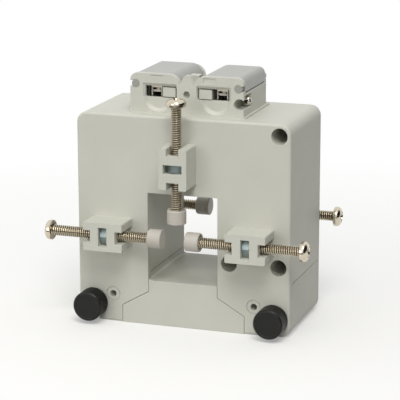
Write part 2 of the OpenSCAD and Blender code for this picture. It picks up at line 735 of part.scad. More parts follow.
// Black insulating block that holds one terminal
module terminal_insert(side) color(insert_black) mirror([side < 0 ? 1 : 0, 0, 0]) difference() {
    union() {
        translate([bay_x0 + seat, -plate_y + seat, bay_z])
            cube([bay_x1 - bay_x0 - 2 * seat, 2 * plate_y - 2 * seat, opening_z - seat - bay_z]);
        translate([terminal_x - cage_w / 2 - 1, -plate_y + seat, bay_z]) cube([cage_w + 2, 12, insert_top - bay_z]);
    }
    // Well of the cage, its wire mouth, the screw's way in from the top, and the contact bar's slot
    translate([terminal_x - cage_w / 2 - 0.2, cage_y - cage_d / 2 - 0.5, cage_z - 1.1])
        cube([cage_w + 0.4, cage_d + 1, cage_h + 2.4]);
    translate([terminal_x - cage_w / 2 + 0.4, -plate_y - 1, cage_z + 0.5]) cube([cage_w - 0.8, 3, cage_h - 1.4]);
    translate([terminal_x, cage_y, cage_z + cage_h]) cylinder(d = clamp_head_d + 0.4, h = cage_h);
    translate([terminal_x - bar_w / 2 - seat, cage_y, bar_z - seat]) cube([bar_w + 2 * seat, 9, bar_t + 2 * seat]);
    translate([terminal_x, lead_y, bay_z - 1]) cylinder(d = lead_d + 0.6, h = cage_h);
}

module contact_bar(side) color(brass) mirror([side < 0 ? 1 : 0, 0, 0]) difference() {
    translate([terminal_x - bar_w / 2, cage_y - cage_d / 2, bar_z]) cube([bar_w, lead_y + 2 - cage_y + cage_d / 2, bar_t]);
    translate([terminal_x, lead_y, bar_z - 1]) cylinder(d = 1, h = 3);
}

module cage(side) color("#b8b2a6") mirror([side < 0 ? 1 : 0, 0, 0]) difference() {
    translate([terminal_x - cage_w / 2, cage_y - cage_d / 2, cage_z]) cube([cage_w, cage_d, cage_h]);
    translate([terminal_x - cage_w / 2 + cage_wall, cage_y - cage_d, cage_z + 0.8])
        cube([cage_w - 2 * cage_wall, 2 * cage_d, cage_h - 2.1]);
    translate([terminal_x, cage_y, cage_z + cage_h / 2]) cylinder(d = clamp_d + 2 * run, h = cage_h);
}

module terminal_screw(side) color(steel) mirror([side < 0 ? 1 : 0, 0, 0])
    translate([terminal_x, cage_y, bar_z + bar_t + run]) {
        cylinder(d = clamp_d, h = clamp_l);
        translate([0, 0, clamp_l]) difference() {
            cylinder(d = clamp_head_d, h = clamp_head_h);
            translate([0, 0, clamp_head_h]) cross_recess(clamp_head_d * 0.57, 1);
        }
    }

module blanking_plate(side) color(casing_grey) mirror([side < 0 ? 1 : 0, 0, 0])
    translate([opening_x0 + 0.8, -plate_y - 1, opening_z + run])
        cube([terminal_x - cage_w / 2 - 1 - seat - opening_x0 - 0.8, 2.6, opening_h - 0.5]);

module base_screws() color(zinc) for (m = [0, 1]) mirror([m, 0, 0])
    translate([fixing_x, -term_d / 2 + fixing_depth, fixing_z]) rotate([-90, 0, 0]) {
        rotate([180, 0, 0]) pan_head(fixing_head_d, fixing_head_d / 2);
        cylinder(d = fixing_d, h = fixing_depth - 1);
    }

// ---- Assembly ----

front_housing();
rear_cover();
upper_core();
bobbin(-1);  // bobbin_left
bobbin(1);  // bobbin_right
winding(-1);  // winding_left
winding(1);  // winding_right
coil_leads();
housing_screws();
yoke_housing();
yoke_base_plate();
lower_core();
stud_inserts();
knob(-1);  // knob_left
knob(1);  // knob_right
washer(-1);  // washer_left
washer(1);  // washer_right
bracket(0);  // front_left_bracket
bracket(1);  // front_right_bracket
bracket(2);  // front_top_bracket
bracket(3);  // rear_left_bracket
bracket(4);  // rear_right_bracket
bracket(5);  // rear_top_bracket
nut(0);  // front_left_nut
nut(1);  // front_right_nut
nut(2);  // front_top_nut
nut(3);  // rear_left_nut
nut(4);  // rear_right_nut
nut(5);  // rear_top_nut
clamp_screw(0);  // front_left_screw
clamp_screw(1);  // front_right_screw
clamp_screw(2);  // front_top_screw
clamp_screw(3);  // rear_left_screw
clamp_screw(4);  // rear_right_screw
clamp_screw(5);  // rear_top_screw
cap(0);  // front_left_cap
cap(1);  // front_right_cap
cap(2);  // front_top_cap
cap(3);  // rear_left_cap
cap(4);  // rear_right_cap
cap(5);  // rear_top_cap
terminal_base();
cover(-1);  // cover_left
cover(1);  // cover_right
terminal_insert(-1);  // terminal_insert_left
terminal_insert(1);  // terminal_insert_right
contact_bar(-1);  // contact_bar_left
contact_bar(1);  // contact_bar_right
cage(-1);  // cage_left
cage(1);  // cage_right
terminal_screw(-1);  // terminal_screw_left
terminal_screw(1);  // terminal_screw_right
blanking_plate(-1);  // blanking_plate_left
blanking_plate(1);  // blanking_plate_right
base_screws();
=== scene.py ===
# %% [markdown]
# # A split-core current transformer, finished in Blender
# The transformer hangs on a flat copper busbar and measures its current. A moulded grey casing has a
# rectangular window for the bar, and its lower part, the yoke, drops off once two black thumb knobs are
# loosened. Capped screws in six small brackets hold the bar, and two hinged covers protect the terminals.
#
# The model comes in as a finished set of solids with their joints. This lesson gives each solid the
# finish of the real material, makes new meshes for the clamp screws, caps and knobs, cuts more detail into
# the terminal block, and lights the result as a small product on a white table.

# %% Load the solids
import json
import math
import bmesh
import bpy
from mathutils import Matrix, Vector

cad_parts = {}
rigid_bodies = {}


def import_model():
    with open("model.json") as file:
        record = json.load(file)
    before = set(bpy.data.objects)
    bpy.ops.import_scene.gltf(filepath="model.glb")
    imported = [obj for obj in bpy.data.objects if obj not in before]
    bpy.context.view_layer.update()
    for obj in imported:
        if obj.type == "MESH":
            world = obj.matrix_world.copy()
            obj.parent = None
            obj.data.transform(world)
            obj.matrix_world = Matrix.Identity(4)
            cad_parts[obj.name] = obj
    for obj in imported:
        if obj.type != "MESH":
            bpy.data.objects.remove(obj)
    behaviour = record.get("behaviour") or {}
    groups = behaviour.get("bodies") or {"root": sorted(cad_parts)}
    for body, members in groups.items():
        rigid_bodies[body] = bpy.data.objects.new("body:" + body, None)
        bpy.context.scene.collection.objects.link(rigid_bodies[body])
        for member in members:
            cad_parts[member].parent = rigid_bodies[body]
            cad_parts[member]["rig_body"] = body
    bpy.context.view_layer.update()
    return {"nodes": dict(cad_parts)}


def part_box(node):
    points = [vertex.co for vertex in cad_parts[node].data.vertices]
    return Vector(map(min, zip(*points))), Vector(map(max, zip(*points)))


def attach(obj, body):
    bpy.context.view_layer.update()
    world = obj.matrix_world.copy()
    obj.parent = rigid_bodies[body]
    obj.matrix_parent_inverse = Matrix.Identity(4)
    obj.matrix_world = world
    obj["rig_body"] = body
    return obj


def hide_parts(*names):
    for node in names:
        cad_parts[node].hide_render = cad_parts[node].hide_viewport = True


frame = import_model()
nodes = frame["nodes"]

# %% [markdown]
# ## Units and small helpers
# Everything is in metres, while a maker thinks in millimetres, so one constant turns one into the other.
# Colours are written as the hex values that a paint chart or a screen gives. Shaders work with linear
# light, so one function turns the first into the second.

# %% Millimetres and colours
MM = 0.001


def linear(hex_code):
    """The linear colour, with full opacity, of an sRGB hex value such as "#c6c5bd"."""
    channels = [int(hex_code[i:i + 2], 16) / 255 for i in (1, 3, 5)]
    return tuple(c / 12.92 if c <= 0.04045 else ((c + 0.055) / 1.055) ** 2.4 for c in channels) + (1.0,)


print("mid grey in linear light:", [round(c, 3) for c in linear("#808080")])

# %% [markdown]
# A material is a small graph. It could be wired by hand for every finish, but the wiring is always the
# same three steps: make a node, set its values, connect its inputs. One function does these steps, so
# each recipe below reads as a list of what is in it.

# %% Add a node to a material


def add_node(tree, kind, settings=None, links=None):
    """Adds a node, sets its options and input values, and connects its inputs to other nodes' outputs."""
    node = tree.nodes.new(kind)
    for name, value in (settings or {}).items():
        if isinstance(name, int) or name in node.inputs:
            node.inputs[name].default_value = value
        else:
            setattr(node, name, value)
    for name, source in (links or {}).items():
        tree.links.new(source, node.inputs[name])
    return node


def new_material(name):
    """An empty material, its graph, and the object coordinates in metres."""
    material = bpy.data.materials.new(name)
    material.use_nodes = True
    material.node_tree.nodes.clear()
    place = add_node(material.node_tree, "ShaderNodeTexCoord")
    return material, material.node_tree, place.outputs["Object"]


def per_mm(size):
    """Scale of a pattern whose repeat is that many millimetres, on coordinates in metres."""
    return 1 / (size * MM)


print("a 2 mm pattern has scale", per_mm(2))

# %% [markdown]
# ## Moulded plastics
# Every plastic piece here is injection moulded, and what the eye reads is the mould's surface. The
# casing's mould is spark eroded, which leaves a fine even grain and a soft, wide highlight. The covers'
# mould is polished, so they are glossier. A real moulded edge is never sharp either: it catches a thin
# line of light. One recipe makes all of them, with the grain's size, its depth, the gloss and the edge's
# radius as its values. The edge is done in the shader, since it is only a few tenths of a millimetre.

# %% Recipe for a moulded plastic


def moulded_plastic(name, colour, shade, roughness, grain, depth, edge, ior=1.58, mottle=18.0, swing=0.06,
                    shine=0.5):
    """Plastic with a fine mould grain (size and depth in mm), a soft edge (mm) and a faint colour drift."""
    material, tree, place = new_material(name)
    drift = add_node(tree, "ShaderNodeTexNoise", {"Scale": per_mm(mottle), "Detail": 3.0, "Roughness": 0.6},
                     {"Vector": place})
    tint = add_node(tree, "ShaderNodeValToRGB", links={"Fac": drift.outputs["Fac"]})
    tint.color_ramp.elements[0].position, tint.color_ramp.elements[0].color = 0.3, linear(shade)
    tint.color_ramp.elements[1].position, tint.color_ramp.elements[1].color = 0.7, linear(colour)
    grit = add_node(tree, "ShaderNodeTexNoise", {"Scale": per_mm(grain), "Detail": 2.0, "Roughness": 0.7},
                    {"Vector": place})
    gloss = add_node(tree, "ShaderNodeMapRange", {"To Min": roughness - swing, "To Max": roughness + swing},
                     {"Value": grit.outputs["Fac"]})
    soft_edge = add_node(tree, "ShaderNodeBevel", {"samples": 6, "Radius": edge * MM})
    relief = add_node(tree, "ShaderNodeBump", {"Strength": 0.6, "Distance": depth * MM},
                      {"Height": grit.outputs["Fac"], "Normal": soft_edge.outputs["Normal"]})
    plastic = add_node(tree, "ShaderNodeBsdfPrincipled", {"IOR": ior, "Specular IOR Level": shine},
                       {"Base Color": tint.outputs["Color"], "Roughness": gloss.outputs["Result"],
                        "Normal": relief.outputs["Normal"]})
    add_node(tree, "ShaderNodeOutputMaterial", links={"Surface": plastic.outputs["BSDF"]})
    return material


# %% [markdown]
# The casing, the yoke, the brackets and the terminal block's base are light grey polycarbonate, with a
# grain of about 0.3 mm. That is too fine to show at this distance, so it is drawn at 0.5 mm and kept
# shallow: it breaks the highlight up without looking like sand.

# %% Plastics of this transformer
casing_polycarbonate = moulded_plastic("grey_polycarbonate_spark_eroded", "#cdcdc3", "#c9c9bf",
                                       roughness=0.52, grain=0.5, depth=0.012, edge=0.25)
cover_polycarbonate = moulded_plastic("grey_polycarbonate_polished", "#9fa09a", "#9b9c96",
                                      roughness=0.3, grain=0.9, depth=0.003, edge=0.25)
cap_polyamide = moulded_plastic("natural_polyamide_satin", "#c6c1b9", "#bfb9b0",
                                roughness=0.42, grain=0.4, depth=0.01, edge=0.35, ior=1.53)
knob_polyamide = moulded_plastic("black_polyamide_moulded", "#1e1e1b", "#1a1a18", shine=0.25,
                                 roughness=0.34, grain=0.35, depth=0.008, edge=0.06, ior=1.5)
insert_polyamide = moulded_plastic("black_polyamide_insulator", "#1b1b1a", "#171716",
                                   roughness=0.45, grain=0.35, depth=0.01, edge=0.15, ior=1.53)
bobbin_polyamide = moulded_plastic("natural_polyamide_bobbin", "#ddd6c2", "#d4ccb6",
                                   roughness=0.5, grain=0.4, depth=0.01, edge=0.2, ior=1.53)
washer_polyamide = moulded_plastic("white_polyamide_stamped", "#e6e3da", "#e0ddd3",
                                   roughness=0.45, grain=0.4, depth=0.008, edge=0.1, ior=1.53)
sleeve_pvc = moulded_plastic("red_pvc_wire_sleeve", "#7d2019", "#721b15",
                             roughness=0.4, grain=0.4, depth=0.006, edge=0.1, ior=1.53)
print("plastics:", len(bpy.data.materials))

# %% [markdown]
# ## Metals
# Screws and nuts are cold-headed steel with a thin plating. Nickel is slightly yellow and bright, blue
# zinc is grey with a cold cast. Plating follows the steel below, so it shows faint drawing lines and
# small changes in gloss and hardly any grain. A metal's colour is its reflection, and its IOR stays as it is.

# %% Recipe for a plated or bare metal


def worked_metal(name, colour, shade, roughness, swing, streak, edge, hollow=None):
    """Metal whose gloss and tone change over patches of that many millimetres.

    Where a mesh marks its hollows from 0 to 1, painted shade turns the tone to that colour, and it gets
    duller.
    """
    material, tree, place = new_material(name)
    patches = add_node(tree, "ShaderNodeTexNoise",
                       {"Scale": per_mm(streak), "Detail": 4.0, "Roughness": 0.65}, {"Vector": place})
    tone = add_node(tree, "ShaderNodeValToRGB", links={"Fac": patches.outputs["Fac"]})
    tone.color_ramp.elements[0].position, tone.color_ramp.elements[0].color = 0.35, linear(shade)
    tone.color_ramp.elements[1].position, tone.color_ramp.elements[1].color = 0.65, linear(colour)
    gloss = add_node(tree, "ShaderNodeMapRange", {"To Min": roughness - swing, "To Max": roughness + swing},
                     {"Value": patches.outputs["Fac"]})
    shown, dullness = tone.outputs["Color"], gloss.outputs["Result"]
    # Painted shade: the marked thread roots and recesses take a darker colour and a duller gloss
    if hollow:
        depth = add_node(tree, "ShaderNodeAttribute", {"attribute_name": "hollow"})
        shown = add_node(tree, "ShaderNodeMix", {"data_type": "RGBA", 7: linear(hollow)},
                         {0: depth.outputs["Fac"], 6: shown}).outputs[2]
        dullness = add_node(tree, "ShaderNodeMath", {"operation": "MULTIPLY_ADD", 1: 0.25},
                            {0: depth.outputs["Fac"], 2: dullness}).outputs["Value"]
    soft_edge = add_node(tree, "ShaderNodeBevel", {"samples": 4, "Radius": edge * MM})
    metal = add_node(tree, "ShaderNodeBsdfPrincipled", {"Metallic": 1.0},
                     {"Base Color": shown, "Roughness": dullness, "Normal": soft_edge.outputs["Normal"]})
    add_node(tree, "ShaderNodeOutputMaterial", links={"Surface": metal.outputs["BSDF"]})
    return material


# %% Metals of this transformer
# The last colour of each screw metal is painted shade for the roots of its thread and the recess in its head.
screw_nickel = worked_metal("nickel_plated_steel_screw", "#d8cfbd", "#cec4b0", 0.16, 0.04, 3.0, 0.05,
                            hollow="#4a4132")
fixing_nickel = worked_metal("bright_nickel_plated_screw", "#dedad0", "#d2cdc2", 0.16, 0.04, 3.0, 0.05,
                             hollow="#3c3832")
nut_zinc = worked_metal("blue_zinc_plated_steel", "#9daaaa", "#8e9b9c", 0.42, 0.06, 2.0, 0.15)
cage_nickel = worked_metal("nickel_plated_brass_cage", "#d2ccbe", "#bdb6a6", 0.3, 0.06, 1.2, 0.12)
turned_brass = worked_metal("turned_brass", "#c9a85c", "#b8964c", 0.3, 0.08, 1.0, 0.1)
tinned_copper = worked_metal("tinned_copper_bar", "#bdbbb5", "#aeaca6", 0.34, 0.06, 1.5, 0.1)
print("materials with the metals:", len(bpy.data.materials))

# %% [markdown]
# ## Core and coil
# The core is wound from silicon steel strip, glued and sawn in two, so each half is a C. Its sides and
# cut ends show the strip's edges as fine lines. Strip is about 0.3 mm thick, which is too fine to show
# at this distance, so the lines are drawn every 0.6 mm. The lines run round the C; on the legs they are
# planes across the width, and that is what the pattern follows.

# %% Wound steel strip


def wound_strip():
    """Ground edges of glued steel strip, with a line where each turn meets the next."""
    material, tree, place = new_material("silicon_steel_strip_wound")
    lines = add_node(tree, "ShaderNodeTexWave", {"wave_type": "BANDS", "bands_direction": "X",
                                                 "Scale": per_mm(0.6) / 20, "Distortion": 0.4, "Detail": 2.0},
                     {"Vector": place})
    tone = add_node(tree, "ShaderNodeValToRGB", links={"Fac": lines.outputs["Fac"]})
    tone.color_ramp.elements[0].position, tone.color_ramp.elements[0].color = 0.15, linear("#57534e")
    tone.color_ramp.elements[1].position, tone.color_ramp.elements[1].color = 0.6, linear("#a39d94")
    relief = add_node(tree, "ShaderNodeBump", {"Strength": 0.5, "Distance": 0.02 * MM},
                      {"Height": lines.outputs["Fac"]})
    steel = add_node(tree, "ShaderNodeBsdfPrincipled", {"Metallic": 1.0, "Roughness": 0.42},
                     {"Base Color": tone.outputs["Color"], "Normal": relief.outputs["Normal"]})
    add_node(tree, "ShaderNodeOutputMaterial", links={"Surface": steel.outputs["BSDF"]})
    return material


core_strip = wound_strip()

# %% [markdown]
# The coil is enamelled copper wire under a last layer of amber polyester tape. The tape lies in turns
# about 6 mm wide, and the wire shows through it as fine ribs.

# %% Taped copper coil


def taped_coil():
    """Amber tape over copper wire: broad laps from the tape and fine ribs from the wire below."""
    material, tree, place = new_material("copper_winding_under_polyester_tape")
    laps = add_node(tree, "ShaderNodeTexWave",
                    {"wave_type": "BANDS", "bands_direction": "Z", "wave_profile": "SAW",
                     "Scale": per_mm(6) / 20, "Distortion": 0.3}, {"Vector": place})
    ribs = add_node(tree, "ShaderNodeTexWave", {"wave_type": "BANDS", "bands_direction": "Z",
                                                "Scale": per_mm(0.9) / 20}, {"Vector": place})
    tone = add_node(tree, "ShaderNodeValToRGB", links={"Fac": laps.outputs["Fac"]})
    tone.color_ramp.elements[0].position, tone.color_ramp.elements[0].color = 0.05, linear("#8f4f22")
    tone.color_ramp.elements[1].position, tone.color_ramp.elements[1].color = 0.4, linear("#c07a3a")
    relief = add_node(tree, "ShaderNodeBump", {"Strength": 0.5, "Distance": 0.03 * MM},
                      {"Height": ribs.outputs["Fac"]})
    tape = add_node(tree, "ShaderNodeBsdfPrincipled", {"Roughness": 0.28, "IOR": 1.6, "Coat Weight": 0.3},
                    {"Base Color": tone.outputs["Color"], "Normal": relief.outputs["Normal"]})
    add_node(tree, "ShaderNodeOutputMaterial", links={"Surface": tape.outputs["BSDF"]})
    return material


coil_tape = taped_coil()

# %% [markdown]
# ## Give every solid its finish
# The solids already have the right shape, so they only need the right material in their slot.

# %% Dress the solids
PLACES = ["front_left", "front_right", "front_top", "rear_left", "rear_right", "rear_top"]
SIDES = ["left", "right"]


def on_each(pattern, places):
    """Names of one kind of piece at several places, such as "{}_nut"."""
    return [pattern.format(place) for place in places]


finishes = [
    (casing_polycarbonate, ["front_housing", "rear_cover", "yoke_housing", "yoke_base_plate"]),
    (casing_polycarbonate, ["terminal_base"]),
    (casing_polycarbonate, on_each("{}_bracket", PLACES) + on_each("blanking_plate_{}", SIDES)),
    (cover_polycarbonate, on_each("cover_{}", SIDES)),
    (cap_polyamide, on_each("{}_cap", PLACES)),
    (knob_polyamide, on_each("knob_{}", SIDES)),
    (insert_polyamide, on_each("terminal_insert_{}", SIDES)),
    (bobbin_polyamide, on_each("bobbin_{}", SIDES)),
    (washer_polyamide, on_each("washer_{}", SIDES)),
    (sleeve_pvc, ["coil_leads"]),
    (screw_nickel, on_each("{}_screw", PLACES) + on_each("terminal_screw_{}", SIDES) + ["base_screws"]),
    (nut_zinc, on_each("{}_nut", PLACES) + ["housing_screws"]),
    (cage_nickel, on_each("cage_{}", SIDES)),
    (tinned_copper, on_each("contact_bar_{}", SIDES)),
    (turned_brass, ["stud_inserts"]),
    (core_strip, ["upper_core", "lower_core"]),
    (coil_tape, on_each("winding_{}", SIDES)),
]
dressed = set()
for material, names in finishes:
    for name in names:
        for holder in nodes[name].material_slots:
            holder.material = material
        dressed.add(name)
print("dressed:", len(dressed), "left plain:", sorted(set(nodes) - dressed))

# %% [markdown]
# ## Clamp screws with real threads
# A clamp screw is a coarse machine screw with a pan head and a cross recess. Its thread is drawn with
# 0.95 mm a turn, between the 0.8 mm of a metric screw this thick and the 1.06 mm of a No. 10-24 inch
# screw. The solid in the model is a plain cylinder a little thicker, which is all that the motion needs.
# A thread could be a bump, but its outline shows against the casing, so it is worth real geometry. Rings
# of points are stacked along the shank, and each point's radius follows a triangle wave that climbs one
# pitch for each turn. The wave is cut off above and below, which leaves a flat crest and a flat root.

# %% Rings of a threaded shank
ROUND = 28
RINGS_PER_TURN = 8
CREST_FLAT, FLANK_STEEPNESS = 0.25, 1.4
TIP_CHAMFER, CHAMFER_SLOPE = 0.7 * MM, 0.6


def thread_radius(radius, depth, pitch, height, turn):
    """Radius of the thread at a height, on the side of the shank that lies that part of a turn round."""
    flank = abs(2 * ((height / pitch - turn) % 1.0) - 1)
    chamfer = CHAMFER_SLOPE * max(0.0, TIP_CHAMFER - height)
    return radius - depth * min(1.0, max(0.0, FLANK_STEEPNESS * flank - CREST_FLAT)) - chamfer


def threaded_shank(radius, depth, pitch, length):
    """Closed mesh of a shank, tip at z = 0."""
    mesh = bmesh.new()
    count = int(length / pitch * RINGS_PER_TURN)
    rings = []
    for i in range(count + 1):
        height = length * i / count
        ring = []
        for k in range(ROUND):
            r, a = thread_radius(radius, depth, pitch, height, k / ROUND), 2 * math.pi * k / ROUND
            ring.append(mesh.verts.new((r * math.cos(a), r * math.sin(a), height)))
        rings.append(ring)
    for low, high in zip(rings, rings[1:]):
        for k in range(ROUND):
            mesh.faces.new((low[k], low[(k + 1) % ROUND], high[(k + 1) % ROUND], high[k]))
    mesh.faces.new(list(reversed(rings[0])))
    mesh.faces.new(rings[-1])
    return mesh


SCREW_RADIUS, SCREW_PITCH, SCREW_DEPTH = 2.33 * MM, 0.95 * MM, 0.5 * MM
SHANK = 48.6 * MM
shank = threaded_shank(SCREW_RADIUS, SCREW_DEPTH, SCREW_PITCH, SHANK)
print("threaded shank:", len(shank.faces), "faces")

# %% [markdown]
# The head is a turned shape: a short cylinder that rolls over into a low dome. It is a profile spun
# round the axis. The cross recess tapers to its bottom, so its cutter is made of two wedges and a cone,
# and a Boolean takes it out of the head.

# %% Shapes for turned and cut pieces


def spun(profile, steps):
    """Mesh of a profile of (radius, height) points, spun round the axis; the first and last lie on it."""
    mesh = bmesh.new()
    loops = []
    for radius, height in profile:
        turns = [2 * math.pi * k / steps for k in range(steps)] if radius > 0 else [0.0]
        loops.append([mesh.verts.new((radius * math.cos(a), radius * math.sin(a), height)) for a in turns])
    for low, high in zip(loops, loops[1:]):
        for k in range(steps):
            after = k + 1
            around = (low[k % len(low)], low[after % len(low)], high[after % len(high)], high[k % len(high)])
            mesh.faces.new(list(dict.fromkeys(around)))  # a loop of one point makes a triangle
    bmesh.ops.recalc_face_normals(mesh, faces=mesh.faces)
    return mesh


def loft(outline_a, outline_b):
    """Closed mesh between two outlines with as many points each."""
    mesh = bmesh.new()
    start, end = ([mesh.verts.new(point) for point in outline] for outline in (outline_a, outline_b))
    count = len(start)
    for k in range(count):
        mesh.faces.new((start[k], start[(k + 1) % count], end[(k + 1) % count], end[k]))
    mesh.faces.new(start[::-1])
    mesh.faces.new(end)
    bmesh.ops.recalc_face_normals(mesh, faces=mesh.faces)
    return mesh


def rectangle(width, depth, height):
    """Corners of a level rectangle round the axis, at a height."""
    return [(sx * width / 2, sy * depth / 2, height) for sx, sy in ((-1, -1), (1, -1), (1, 1), (-1, 1))]


def as_object(mesh, name):
    """Linked object from a bmesh, which is freed."""
    data = bpy.data.meshes.new(name)
    mesh.to_mesh(data)
    mesh.free()
    made = bpy.data.objects.new(name, data)
    bpy.context.scene.collection.objects.link(made)
    return made


def carve(target, cutters, operation="DIFFERENCE"):
    """Runs the Booleans on the target, keeps the result as its mesh, and removes the cutters."""
    for cutter in cutters:
        step = target.modifiers.new("carve", "BOOLEAN")
        step.operation, step.solver, step.object = operation, "EXACT", cutter
    bpy.context.view_layer.update()
    result = bpy.data.meshes.new_from_object(target.evaluated_get(bpy.context.evaluated_depsgraph_get()))
    target.modifiers.clear()
    target.data = result
    for cutter in cutters:
        bpy.data.objects.remove(cutter)
    return target


# %% Pan head with its cross recess


HEAD_STEPS, EYE_STEPS = 48, 24
SHOULDER = 0.34          # height where the dome starts, as a share of the head's height
RIM = 0.05               # the rest are shares of the head's radius
RECESS_DEPTH, ABOVE_TOP = 0.5, 0.02
ARM_FOOT, ARM_TOP = (0.58, 0.17), (1.2, 0.26)
EYE_FOOT, EYE_TOP, EYE_POINT = 0.2, 0.37, 0.1


def pan_head(radius, height, name):
    """Pan head standing on z = 0, with a cross recess."""
    dome = [(radius * math.cos(a) ** 0.75, height * (SHOULDER + (1 - SHOULDER) * math.sin(a) ** 0.9))
            for a in [math.radians(d) for d in range(0, 90, 6)]]
    outline = [(0, 0), (radius - RIM * radius, 0), (radius, RIM * radius)] + dome + [(0, height)]
    head = as_object(spun(outline, HEAD_STEPS), name)
    top, foot = height + ABOVE_TOP * radius, height - RECESS_DEPTH * radius
    arms = []
    for k in range(2):
        narrow = rectangle(ARM_FOOT[0] * radius, ARM_FOOT[1] * radius, foot)
        wide = rectangle(ARM_TOP[0] * radius, ARM_TOP[1] * radius, top)
        arms.append(as_object(loft(narrow, wide), "arm_" + str(k)))
    arms[1].data.transform(Matrix.Rotation(math.pi / 2, 4, "Z"))
    cone = [(0, foot - EYE_POINT * radius), (EYE_FOOT * radius, foot), (EYE_TOP * radius, top), (0, top)]
    return carve(head, arms + [as_object(spun(cone, EYE_STEPS), "recess_eye")])


def mark_hollows(piece, hollow_at):
    """Stores how deep each point of the piece lies in a root or recess, from 0 to 1, for the shade that the
    metal's shader paints there.
    """
    values = piece.data.attributes.new("hollow", "FLOAT", "POINT")
    for point, value in zip(piece.data.vertices, values.data):
        value.value = min(1.0, max(0.0, hollow_at(math.hypot(point.co.x, point.co.y), point.co.z)))


HEAD_RADIUS, HEAD_HEIGHT = 4.3 * MM, 3.3 * MM
head = pan_head(HEAD_RADIUS, HEAD_HEIGHT, "pan_head")
print("recessed head:", len(head.data.polygons), "faces")

# %% [markdown]
# One finished screw is enough: the other five are copies of its mesh, each turned along its own axis.
# Each stands in for the plain solid of the same name, and rides on that solid's body. Each point is
# marked with how deep it lies in the roots of the thread or in the recess, and the nickel's shader
# paints shade there by darkening its colour.

# %% Six clamp screws in place


def lie_along(place, node):
    """Move that puts a piece, tip at the origin and head up the Z axis, where that clamp's solid lies."""
    low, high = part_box(node)
    middle = (low + high) / 2
    if place.endswith("top"):
        return Matrix.Translation((middle.x, middle.y, low.z))
    if place.endswith("left"):
        return Matrix.Translation((high.x, middle.y, middle.z)) @ Matrix.Rotation(-math.pi / 2, 4, "Y")
    return Matrix.Translation((low.x, middle.y, middle.z)) @ Matrix.Rotation(math.pi / 2, 4, "Y")


def stand_in(piece, node, material):
    """Makes the piece ride with the node's body and stand for the node, in that material."""
    piece.data.materials.clear()
    piece.data.materials.append(material)
    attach(piece, nodes[node]["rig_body"])
    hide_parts(node)
    return piece


# Painted shade: where it starts and how far it spreads in the thread's roots and in the head's recess.
SHADE_START, SHADE_SPREAD = 0.4, 0.5   # shares of the thread's depth over which the painted shade darkens
RECESS_UNSHADED, RECESS_SPREAD = 0.35 * MM, 0.8 * MM


def screw_hollow(radius, height):
    """Depth in the thread, or in the recess of the head, which sets the painted shade there."""
    if height < SHANK - 0.1 * MM:
        return (SCREW_RADIUS - SHADE_START * SCREW_DEPTH - radius) / (SHADE_SPREAD * SCREW_DEPTH)
    in_recess = radius < 0.5 * HEAD_RADIUS
    return (SHANK + HEAD_HEIGHT - RECESS_UNSHADED - height) / RECESS_SPREAD if in_recess else 0.0


head.data.transform(Matrix.Translation((0, 0, SHANK)))
pattern_screw = carve(as_object(shank, "pattern_screw"), [head], "UNION")
mark_hollows(pattern_screw, screw_hollow)
FIRST_ROLL, NEXT_ROLL = 23, 37   # degrees, so that no two recesses stand alike
for place in PLACES:
    screw = bpy.data.objects.new(place + "_threaded_screw", pattern_screw.data.copy())
    bpy.context.scene.collection.objects.link(screw)
    roll = Matrix.Rotation(math.radians(FIRST_ROLL + NEXT_ROLL * PLACES.index(place)), 4, "Z")
    screw.data.transform(lie_along(place, place + "_screw") @ roll)
    stand_in(screw, place + "_screw", screw_nickel)
bpy.data.objects.remove(pattern_screw)
print("faces on one screw:", len(screw.data.polygons))

# %% [markdown]
# ## Ribbed end caps
# A soft nylon cap sits on each screw's tip so that the tip doesn't dent the busbar. It is a turned cup:
# the end that meets the bar is flat with a round edge, and shallow ribs round the outside give the
# fingers a grip. The profile runs from the middle of the closed end, along the outside and back inside.

# %% Six caps
CAP_RADIUS, CAP_LENGTH, CAP_FLOOR = 4.1 * MM, 6.1 * MM, 1.2 * MM
RIB_PITCH, RIB_DEPTH, CAP_ROUNDING = 0.95 * MM, 0.09 * MM, 0.5 * MM
MOUTH_CHAMFER, MOUTH_FLARE, BORE_GAP, FLARE_DEPTH = 0.3 * MM, 0.9 * MM, 0.1 * MM, 1.2 * MM
CAP_STEPS, RIB_STEPS = 48, 38
rounding = [(CAP_RADIUS - CAP_ROUNDING * (1 - math.sin(a)), CAP_ROUNDING * (1 - math.cos(a)))
            for a in [math.radians(d) for d in range(0, 91, 15)]]
ribs = []
for i in range(1, RIB_STEPS):
    z = CAP_ROUNDING + (CAP_LENGTH - MOUTH_CHAMFER - CAP_ROUNDING) * i / RIB_STEPS
    valley = 0.5 - 0.5 * math.cos(2 * math.pi * (z - CAP_ROUNDING) / RIB_PITCH)
    ribs.append((CAP_RADIUS - RIB_DEPTH * valley, z))
bore = SCREW_RADIUS + BORE_GAP
mouth = [(CAP_RADIUS - MOUTH_CHAMFER, CAP_LENGTH), (SCREW_RADIUS + MOUTH_FLARE, CAP_LENGTH),
         (bore, CAP_LENGTH - FLARE_DEPTH)]
cup = spun([(0, 0)] + rounding + ribs + mouth + [(bore, CAP_FLOOR), (0, CAP_FLOOR)], CAP_STEPS)
pattern_cap = as_object(cup, "pattern_cap")
for face in pattern_cap.data.polygons:
    face.use_smooth = abs(face.normal.z) < 0.99
for place in PLACES:
    cap = bpy.data.objects.new(place + "_ribbed_cap", pattern_cap.data.copy())
    bpy.context.scene.collection.objects.link(cap)
    cap.data.transform(lie_along(place, place + "_cap"))
    stand_in(cap, place + "_cap", cap_polyamide)
bpy.data.objects.remove(pattern_cap)
print("faces on one cap:", len(cap.data.polygons))

# %% [markdown]
# ## Knurled thumb knobs
# The knobs are turned by hand, so their side has straight flutes, and each holds a threaded stud. A flute
# could be cut with a Boolean for each tooth, but a ring whose radius steps in and out round the circle
# makes all of them at once. The flutes run out before the front, where a plain rim with a chamfer catches
# a thin line of light.

